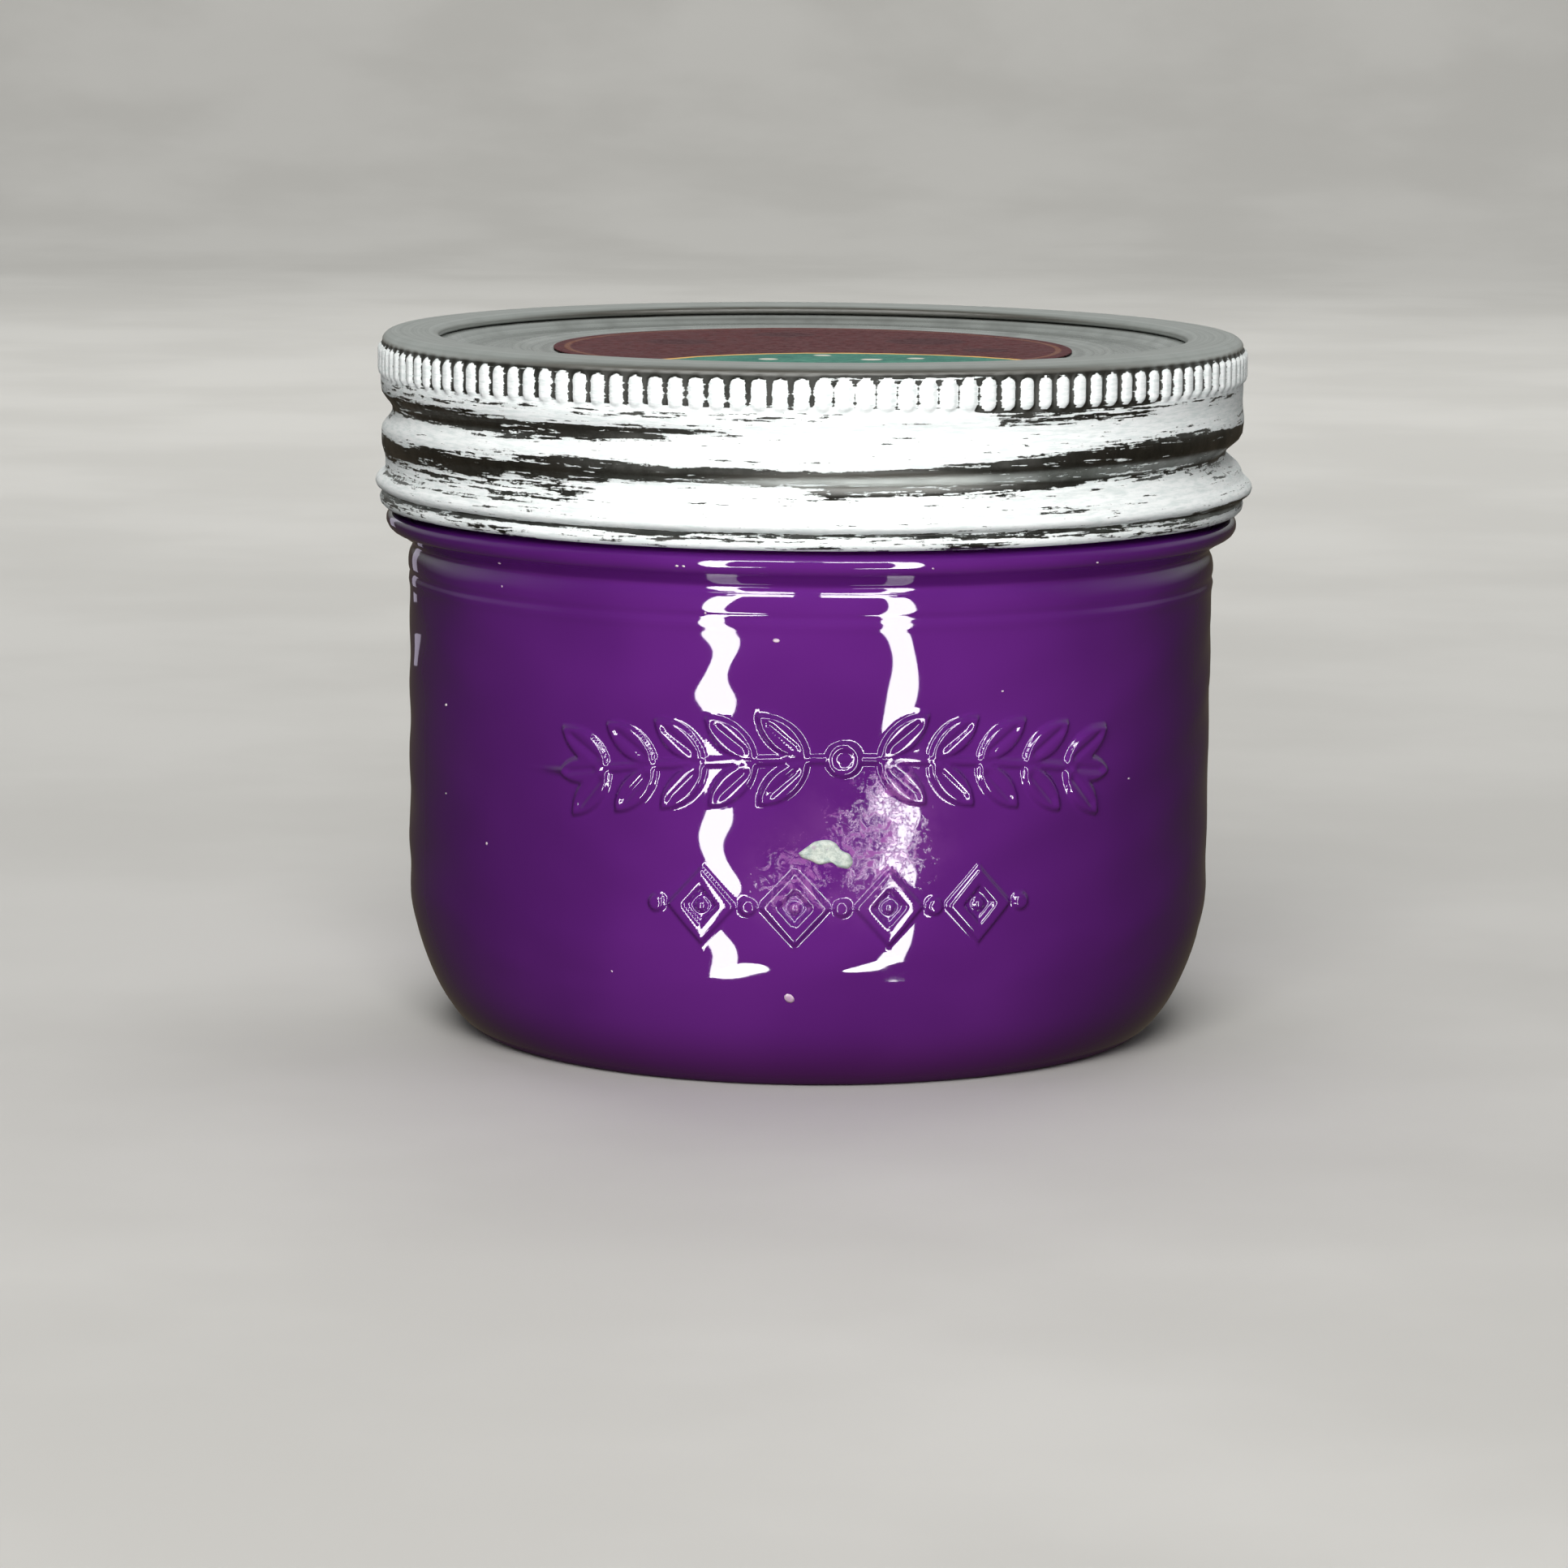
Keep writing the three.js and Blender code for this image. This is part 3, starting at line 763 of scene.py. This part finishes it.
def band_wear(r, z, a):
    """How bare each point of the band is, with painted shade lines added in. The crests of the knurls keep
    their paint.
    """
    full = window(signed_azimuth(a), *THICK_COAT)
    crests = 1.2 * on_grip(r, z) * ease(knurl(z, a) / (0.66 - 0.16 * full))
    worn = np.maximum.reduce([groove_wear(z, a), line_wear_and_shade(z, a), grip_wear(r, z, a)])
    worn = np.minimum(worn, DARK_STEEL) - crests
    painted = (r > SKIRT_R - 0.3) | (z < BAND_LOW + 1.5) & (r > 44.1)
    unpainted = (z > 71.92 - 0.17 * full) | ~painted
    return np.where(unpainted, CLEAN_STEEL, worn)


def knurled_band():
    columns = KNURLS * 8
    piece, grid = revolved("knurled_band", band_profile(), even_turn(columns), "band", band_shape)
    # The bare numbers also carry painted shade lines in the crease and along the groove's edges.
    store(piece, "bare", band_wear(*grid))
    return stands_for(piece, "screw_band")


# ------------------------------------ materials


class Look:
    """A node material under construction. Sockets are given numbers, colours or links."""

    def __init__(self, name, **values):
        self.material = bpy.data.materials.new(name)
        self.material.use_nodes = True
        self.tree = self.material.node_tree
        self.shader = self.tree.nodes["Principled BSDF"]
        self.surface(**values)
        metres = self.tree.nodes.new("ShaderNodeTexCoord").outputs["Object"]
        self.place = self.vector("SCALE", {0: metres, "Scale": 1 / MM})

    def give(self, node, values):
        for key, value in values.items():
            socket = node.inputs[key]
            if isinstance(value, bpy.types.NodeSocket):
                self.tree.links.new(value, socket)
            elif isinstance(value, tuple) and len(value) == 3 and socket.type == "RGBA":
                socket.default_value = (*value, 1.0)
            else:
                socket.default_value = value

    def surface(self, **values):
        self.give(self.shader, {key.replace("_", " "): value for key, value in values.items()})

    def node(self, kind, values=(), out=0, **settings):
        made = self.tree.nodes.new(kind)
        for key, value in settings.items():
            setattr(made, key, value)
        self.give(made, dict(values))
        return made.outputs[out]

    def maths(self, operation, a, b=0.0):
        return self.node("ShaderNodeMath", {0: a, 1: b}, operation=operation)

    def plus(self, a, b):
        return self.maths("ADD", a, b)

    def times(self, a, b):
        return self.maths("MULTIPLY", a, b)

    def vector(self, operation, values, out=0):
        return self.node("ShaderNodeVectorMath", values, out=out, operation=operation)

    def span(self, value, low, high, to_low=0.0, to_high=1.0):
        values = {"Value": value, "From Min": low, "From Max": high, "To Min": to_low, "To Max": to_high}
        return self.node("ShaderNodeMapRange", values, interpolation_type="SMOOTHSTEP")

    def blend(self, share, a, b):
        return self.node("ShaderNodeMix", {0: share, 6: a, 7: b}, out=2, data_type="RGBA")

    def stretch(self, x, y, z):
        return self.vector("MULTIPLY", {0: self.place, 1: (x, y, z)})

    def noise(self, scale, detail=3.0, roughness=0.5, vector=None, distortion=0.0):
        values = {"Vector": vector or self.place, "Scale": scale, "Detail": detail,
                  "Roughness": roughness, "Distortion": distortion}
        return self.node("ShaderNodeTexNoise", values)

    def away(self, point, place=None):
        """How far a point of the object is from this one, in mm."""
        return self.vector("DISTANCE", {0: place or self.place, 1: point}, out="Value")

    def near(self, point, radius, soft):
        """1 at a point of the object, fading out between radius and radius + soft."""
        return self.span(self.away(point), radius + soft, radius)

    def height(self):
        return self.node("ShaderNodeSeparateXYZ", {0: self.place}, out=2)

    def radius(self):
        """Distance from the Z axis."""
        x, y = (self.node("ShaderNodeSeparateXYZ", {0: self.place}, out=k) for k in range(2))
        return self.maths("SQRT", self.plus(self.times(x, x), self.times(y, y)))

    def turned(self, scale, detail, roughness):
        """Noise that is the same all round Z."""
        rings = self.node("ShaderNodeCombineXYZ", {0: self.radius(), 1: self.height()})
        return self.noise(scale, detail, roughness, vector=rings)

    def relief(self, height, distance, strength=1.0):
        values = {"Height": height, "Distance": distance * MM, "Strength": strength}
        self.give(self.shader, {"Normal": self.node("ShaderNodeBump", values)})

    def on(self, piece):
        piece.data.materials.append(self.material)


def on_glass(azimuth, height):
    """A point on the outside of the jar."""
    turn = math.radians(azimuth)
    return (BODY_R * math.sin(turn), -BODY_R * math.cos(turn), height)


PURPLE = (0.120, 0.0165, 0.240)
PURPLE_DEEP = (0.098, 0.0125, 0.198)
PURPLE_DRY = (0.36, 0.13, 0.47)
PURPLE_CONTACT_SHADOW = (0.05, 0.006, 0.06)


def paint_backed_glass():
    """Clear glass with purple paint against its back, which reads as one glossy coat."""
    look = Look("paint_backed_glass", IOR=1.5)
    colour = look.blend(look.span(look.noise(0.045, 2.0), 0.35, 0.7), PURPLE, PURPLE_DEEP)
    cloud = look.noise(0.16, 4.0, 0.6)
    dry = look.noise(0.75, 6.0, 0.72, distortion=1.2)
    fine = look.noise(2.4, 3.0, 0.7)
    zone = 0.0
    for azimuth, height, radius, soft in ((9, 25.5, 1.5, 9.0), (-1, 22, 1.0, 7.0), (11, 31, 0.5, 6.0)):
        zone = look.maths("MAXIMUM", zone, look.near(on_glass(azimuth, height), radius, soft))
    speckle = look.plus(look.times(dry, 0.75), look.times(fine, 0.25))
    level = look.plus(speckle, look.times(zone, 0.22))
    crazed = look.times(look.span(level, 0.66, 0.76), zone)
    colour = look.blend(look.times(crazed, 0.75), colour, PURPLE_DRY)
    haze = look.times(zone, look.span(cloud, 0.4, 0.7))
    colour = look.blend(look.times(haze, 0.25), colour, PURPLE_DRY)
    foot = look.height()
    worn = look.span(foot, 1.4, 0.3, 0.035, 0.7)
    # Painted contact shadow: the purple darkens towards the foot, nearly to black at the floor.
    colour = look.blend(look.span(foot, 7.0, 0.5, 0.0, 0.6), colour, PURPLE_CONTACT_SHADOW)
    look.surface(Base_Color=colour, Roughness=worn)
    look.relief(crazed, 0.02, 0.35)
    return look


def clear_glass():
    look = Look("clear_glass", Base_Color=(0.93, 0.975, 0.955), Roughness=0.02, IOR=1.5,
                Transmission_Weight=1.0)
    look.relief(look.noise(0.25, 2.0), 0.05, 0.25)
    return look


def wet_paint():
    look = Look("wet_paint", Roughness=0.14, IOR=1.48)
    swirl = look.span(look.noise(0.07, 3.0, 0.55, distortion=1.6), 0.35, 0.65)
    look.surface(Base_Color=look.blend(swirl, PURPLE_DEEP, (0.17, 0.016, 0.29)))
    look.relief(look.noise(0.3, 3.0), 0.15, 0.3)
    return look


def dried_coat():
    look = Look("dried_coat")
    patch = look.noise(0.5, 5.0, 0.65)
    look.surface(Base_Color=look.blend(look.span(patch, 0.4, 0.65), PURPLE, (0.23, 0.04, 0.33)),
                 Roughness=look.span(patch, 0.3, 0.7, 0.3, 0.6))
    look.relief(look.noise(1.6, 4.0, 0.6), 0.12, 0.7)
    return look


def pale_crust():
    look = Look("pale_crust", Roughness=0.6)
    patch = look.noise(1.6, 5.0, 0.7)
    colour = look.blend(look.span(patch, 0.35, 0.65), (0.36, 0.47, 0.47), (0.62, 0.72, 0.70))
    stain = look.noise(0.9, 3.0, 0.6)
    look.surface(Base_Color=look.blend(look.span(stain, 0.6, 0.72, 0.0, 0.6), colour, (0.30, 0.13, 0.36)))
    look.relief(look.noise(3.5, 5.0, 0.7), 0.06, 0.8)
    return look


def dust_grains():
    look = Look("dust_grains", Roughness=0.45)
    shade = look.span(look.noise(0.9, 2.0), 0.35, 0.65)
    look.surface(Base_Color=look.blend(shade, (0.50, 0.36, 0.58), (0.80, 0.74, 0.84)))
    look.relief(look.noise(6.0, 3.0), 0.04, 0.5)
    return look


def tinplate(name, colour, shine, spin):
    """Plain metal with rings of brushing round Z."""
    look = Look(name, Metallic=1.0)
    grain = look.turned(spin, 4.0, 0.7)
    blotch = look.noise(0.18, 4.0, 0.65)
    dull = tuple(c * 0.6 for c in colour)
    mixed = look.blend(look.span(grain, 0.3, 0.7), dull, colour)
    mixed = look.blend(look.span(blotch, 0.45, 0.75, 0.0, 0.5), mixed, dull)
    look.surface(Base_Color=mixed, Roughness=look.span(blotch, 0.3, 0.7, shine - 0.06, shine + 0.12))
    look.relief(grain, 0.02, 0.4)
    return look


def compound():
    look = Look("sealing_compound", Roughness=0.55)
    shade = look.span(look.noise(0.4), 0.4, 0.6)
    look.surface(Base_Color=look.blend(shade, (0.17, 0.15, 0.13), (0.25, 0.22, 0.19)))
    look.relief(look.noise(1.5, 3.0), 0.05, 0.4)
    return look


def printed_paper():
    """A plain round label: a dark red field, a green one at its near side and paint dabs."""
    look = Look("printed_paper", Specular_IOR_Level=0.1)
    away = look.plus(look.away((4.5, -31.5, LABEL_TOP)), look.times(look.noise(0.35, 3.0), 0.8))
    patch, weave = look.noise(0.9, 5.0), look.noise(0.6, 4.0)
    red = look.blend(look.span(patch, 0.35, 0.7), (0.075, 0.014, 0.017), (0.045, 0.010, 0.013))
    green = look.blend(look.span(weave, 0.35, 0.7), (0.03, 0.13, 0.10), (0.05, 0.19, 0.14))
    colour = look.blend(look.span(away, 25.0, 24.8), red, (0.62, 0.36, 0.10))
    colour = look.blend(look.span(away, 24.1, 23.9), colour, green)
    pale = [(6.0, -15.0, 0.9), (10.5, -13.5, 0.7), (1.0, -10.5, 0.7), (-4.5, -16.0, 0.8)]
    dark = [(-14.0, 6.0, 3.4), (12.0, 9.0, 4.0), (-3.0, 17.0, 3.0), (18.0, -2.0, 2.2)]
    for dabs, soft, share, tint in ((pale, 0.35, 0.85, (0.62, 0.58, 0.50)),
                                    (dark, 0.5, 0.7, (0.035, 0.008, 0.012))):
        for x, y, size in dabs:
            dab = look.near((x, y, LABEL_TOP), size, soft)
            colour = look.blend(look.times(dab, share), colour, tint)
    radius = look.radius()
    rim = look.times(look.span(radius, 25.2, 25.35), look.span(radius, 25.95, 25.8))
    colour = look.blend(look.times(rim, 0.5), colour, (0.20, 0.09, 0.05))
    scuff = look.noise(1.3, 6.0, 0.75)
    colour = look.blend(look.span(scuff, 0.66, 0.74, 0.0, 0.6), colour, (0.5, 0.47, 0.43))
    look.surface(Base_Color=colour, Roughness=look.span(scuff, 0.4, 0.7, 0.5, 0.75))
    look.relief(look.noise(3.0, 3.0), 0.02, 0.4)
    return look


def brushed_paint():
    """White chalk paint dragged round the band over bare metal."""
    look = Look("brushed_paint")
    # This holds how bare the steel is, and also painted shade lines that turn to dark steel.
    bare = look.node("ShaderNodeAttribute", out="Fac", attribute_name="bare")
    streak = look.noise(1.0, 5.0, 0.62, vector=look.stretch(0.10, 0.10, 2.6))
    bristle = look.noise(1.6, 4.0, 0.65, vector=look.stretch(0.28, 0.28, 2.2))
    chip = look.noise(1.9, 4.0, 0.7)
    level = bare
    for grain, share in ((streak, 2.8), (bristle, 2.1), (chip, 0.8)):
        level = look.plus(level, look.times(look.maths("SUBTRACT", grain, 0.5), share))
    metal = look.span(level, 0.50, 0.55)
    thin = look.span(level, 0.22, 0.52)
    tarnish = look.noise(0.22, 5.0, 0.65)
    dark = look.blend(look.span(tarnish, 0.35, 0.7), (0.19, 0.195, 0.185), (0.09, 0.095, 0.085))
    flat = 14                  # the painted sheen patch is this many times as long as it is tall
    # A painted sheen: a pale patch lightens the bare steel's colour at the front of the groove.
    painted_sheen = look.span(look.away((6.0, -44.0, 61.4 * flat), look.stretch(1, 1, flat)), 20.0, 8.0)
    dark = look.blend(look.times(painted_sheen, 0.9), dark, (0.78, 0.80, 0.78))
    rings = look.span(look.turned(2.2, 4.0, 0.7), 0.3, 0.7)
    clean = look.blend(rings, (0.55, 0.57, 0.55), (0.73, 0.75, 0.73))
    steel = look.blend(look.span(bare, DARK_STEEL, 1.8), dark, clean)
    coat = look.blend(look.span(bristle, 0.3, 0.62), (0.68, 0.735, 0.725), (0.86, 0.885, 0.88))
    coat = look.blend(look.times(thin, 0.4), coat, (0.52, 0.56, 0.55))
    polish = look.span(tarnish, 0.3, 0.7, 0.30, 0.42)
    roughness = look.node("ShaderNodeMix", {0: metal, 2: 0.62, 3: polish})
    look.surface(Base_Color=look.blend(metal, coat, steel), Metallic=metal, Roughness=roughness)
    height = look.maths("SUBTRACT", look.times(bristle, 0.5), metal)
    look.relief(look.plus(height, look.times(streak, 0.4)), 0.06, 0.7)
    return look


# ------------------------------------ build the object

CLEAR_FROM = 54.6          # no paint is seen behind the glass above this height

jar = moulded_jar()
paint_backed_glass().on(jar)
clear_glass().on(jar)
heights = np.array([p.center.z for p in jar.data.polygons]) / MM
jar.data.polygons.foreach_set("material_index", (heights > CLEAR_FROM).astype(np.int32))

pool, skin = paint_body(), paint_skin()
wet_paint().on(pool)
dried_coat().on(skin)
splash, dust = dried_splash(), dust_nibs(jar)
pale_crust().on(splash)
dust_grains().on(dust)
plate = lid_plate()
tinplate("disc_metal", (0.66, 0.68, 0.66), 0.28, 1.6).on(plate)
seal, label = seal_ring(), label_print()
compound().on(seal)
printed_paper().on(label)
band = knurled_band()
brushed_paint().on(band)

# ------------------------------------ floor, light, camera

WHITE, WARM, AMBER, LAVENDER = (1, 1, 1), (1.0, 0.99, 0.97), (1.0, 0.84, 0.72), (0.85, 0.78, 1.0)
GLASS_THINGS = ("glass_things", [jar, splash, dust])
METAL_THINGS = ("metal_things", [band, plate])
UPPER_THINGS = ("upper_things", [band, plate, label, seal, skin, pool])
FRAME_AWAY = 410.0         # from the jar's axis to the bright frame that the glass mirrors
FRAME_GLOW = 24.0
METAL_CARD = 4.2


def backdrop():
    """A floor that sweeps up into a round wall far from the jar."""
    line = flowing([(0, 0), (300, 0), (900, 0), (1250, 0), (1500, 60), (1640, 220), (1680, 480),
                    (1690, 1100)], 60)
    piece, _ = revolved("studio_floor", line, even_turn(96), None)
    piece.data.flip_normals()
    look = Look("pale_floor", Roughness=0.7)
    cloud = look.span(look.noise(0.012, 4.0), 0.35, 0.65)
    look.surface(Base_Color=look.blend(cloud, (0.60, 0.59, 0.565), (0.66, 0.65, 0.625)))
    look.on(piece)
    piece.visible_glossy = False
    piece.visible_diffuse = False
    return piece


def only_for(lamp, name, pieces):
    """Lets a lamp reach these pieces and nothing else."""
    group = bpy.data.collections.get(name) or bpy.data.collections.new(name)
    for piece in pieces:
        if piece.name not in group.objects:
            group.objects.link(piece)
    lamp.light_linking.receiver_collection = group


def panel(name, place, target, wide, tall, power, colour=WHITE):
    """An area lamp that no camera sees."""
    data = bpy.data.lights.new(name, "AREA")
    data.shape = "RECTANGLE"
    data.size, data.size_y = wide * MM, tall * MM
    data.energy = power
    data.color = colour
    lamp = bpy.data.objects.new(name, data)
    bpy.context.scene.collection.objects.link(lamp)
    ahead = Vector(target) - Vector(place)
    lamp.location = Vector(place) * MM
    lamp.rotation_mode = "QUATERNION"
    lamp.rotation_quaternion = ahead.to_track_quat("-Z", "Y")
    lamp.visible_camera = False
    return lamp


def mirrored(lamp, group):
    """Makes a lamp one that only these pieces mirror. It lights nothing."""
    lamp.visible_diffuse = False
    only_for(lamp, *group)


def frame_bar(name, azimuth, height, wide, tall, shape="RECTANGLE"):
    """One bar of the bright frame."""
    place = (FRAME_AWAY * math.tan(math.radians(azimuth)), -FRAME_AWAY, height)
    power = FRAME_GLOW * math.pi * wide * tall * MM * MM
    lamp = panel(name, place, (0, 0, height), wide, tall, power)
    lamp.data.shape = shape
    mirrored(lamp, GLASS_THINGS)


def soft_lights(floor):
    """Broad lamps that nothing mirrors. Each is for one group of pieces, or for everything."""
    rest = ("other_things", UPPER_THINGS[1] + [floor])
    whole = ("whole_jar", UPPER_THINGS[1] + GLASS_THINGS[1])
    for name, place, target, wide, tall, power, colour, group in (
        ("key", (-60, -760, 620), (0, 0, 30), 460, 380, 6.7, WARM, rest),
        ("front", (0, -800, 110), (0, 0, 55), 700, 200, 3.6, WHITE, UPPER_THINGS),
        ("low", (0, -460, 30), (0, 0, 60), 420, 50, 0.55, WHITE, UPPER_THINGS),
        ("back", (0, 700, 420), (0, 0, 30), 700, 300, 4.0, WHITE, whole),
        ("glass_key", (-10, -255, 150), (0, 0, 30), 130, 100, 0.375, WARM, GLASS_THINGS),
        ("glass_front", (0, -260, 34), (0, 0, 26), 200, 62, 0.36, AMBER, GLASS_THINGS),
        ("fill_left", (-700, -300, 420), (0, 0, 40), 360, 480, 0.7, WHITE, rest),
        ("fill_right", (720, -240, 430), (0, 0, 40), 360, 480, 0.6, WHITE, rest),
        ("over", (0, 150, 900), (0, 0, 0), 700, 500, 2.2, WHITE, None),
        ("wash", (0, 700, 900), (0, 1300, 0), 1400, 400, 10.5, (1, 1, 0.98), None),
    ):
        lamp = panel(name, place, target, wide, tall, power, colour)
        lamp.visible_glossy = False
        if group:
            only_for(lamp, *group)


def mirrored_lights():
    """What gives the glass its two white streaks and the metals their sheen."""
    for side, word in ((-1, "left"), (1, "right")):
        frame_bar("bar_" + word, 24.5 * side, 60, 58, 550)
        frame_bar("foot_" + word, 19.5 * side, -200, 120, 44, "ELLIPSE")
        frame_bar("top_" + word, 14.0 * side, 345, 150, 76)
    frame_bar("top_line", 0, 410, 420, 24)
    mirrored(panel("window_left", (-282, 530, 113), (0, 0, 60), 70, 300, 0.045, LAVENDER), GLASS_THINGS)
    mirrored(panel("metal_card", (0, -700, 0), (0, 0, 0), 2400, 1100, METAL_CARD), METAL_THINGS)


DUSK = (0.085, 0.070, 0.052, 1)
PALE_SKY = (0.50, 0.52, 0.505, 1)


def surroundings():
    """What polished things mirror: a warm dusk below and in front, and pale sky behind."""
    world = bpy.data.worlds.new("surroundings")
    bpy.context.scene.world = world
    world.use_nodes = True
    world.cycles_visibility.diffuse = False
    tree = world.node_tree
    parts = tree.nodes.new("ShaderNodeSeparateXYZ")
    tree.links.new(tree.nodes.new("ShaderNodeTexCoord").outputs["Generated"], parts.inputs[0])
    both = tree.nodes.new("ShaderNodeMath")
    both.operation = "MULTIPLY"
    for k, (axis, start, end, least) in enumerate((("Z", -0.04, 0.18, 0.0), ("Y", -0.3, 0.4, 0.06))):
        share = tree.nodes.new("ShaderNodeMapRange")
        share.inputs["From Min"].default_value = start
        share.inputs["From Max"].default_value = end
        share.inputs["To Min"].default_value = least
        tree.links.new(parts.outputs[axis], share.inputs["Value"])
        tree.links.new(share.outputs[0], both.inputs[k])
    tint = tree.nodes.new("ShaderNodeMix")
    tint.data_type = "RGBA"
    tint.inputs[6].default_value = DUSK
    tint.inputs[7].default_value = PALE_SKY
    tree.links.new(both.outputs[0], tint.inputs[0])
    tree.links.new(tint.outputs[2], tree.nodes["Background"].inputs["Color"])


CAMERA_AWAY = 600.0
CAMERA_HEIGHT = 117.87
LENS = 132.17
PITCH_DOWN, YAW, ROLL = (math.radians(x) for x in (8.794, 0.248, 0.498))


def camera():
    data = bpy.data.cameras.new("camera")
    data.sensor_width = 36.0
    data.lens = LENS
    data.clip_start, data.clip_end = 0.02, 20.0
    thing = bpy.data.objects.new("camera", data)
    bpy.context.scene.collection.objects.link(thing)
    turn = Matrix.Rotation(YAW, 4, "Z") @ Matrix.Rotation(math.pi / 2 - PITCH_DOWN, 4, "X")
    place = Matrix.Translation(Vector((0, -CAMERA_AWAY, CAMERA_HEIGHT)) * MM)
    thing.matrix_world = place @ turn @ Matrix.Rotation(ROLL, 4, "Z")
    bpy.context.scene.camera = thing


soft_lights(backdrop())
mirrored_lights()
surroundings()
camera()
bpy.context.scene.view_settings.view_transform = "Standard"
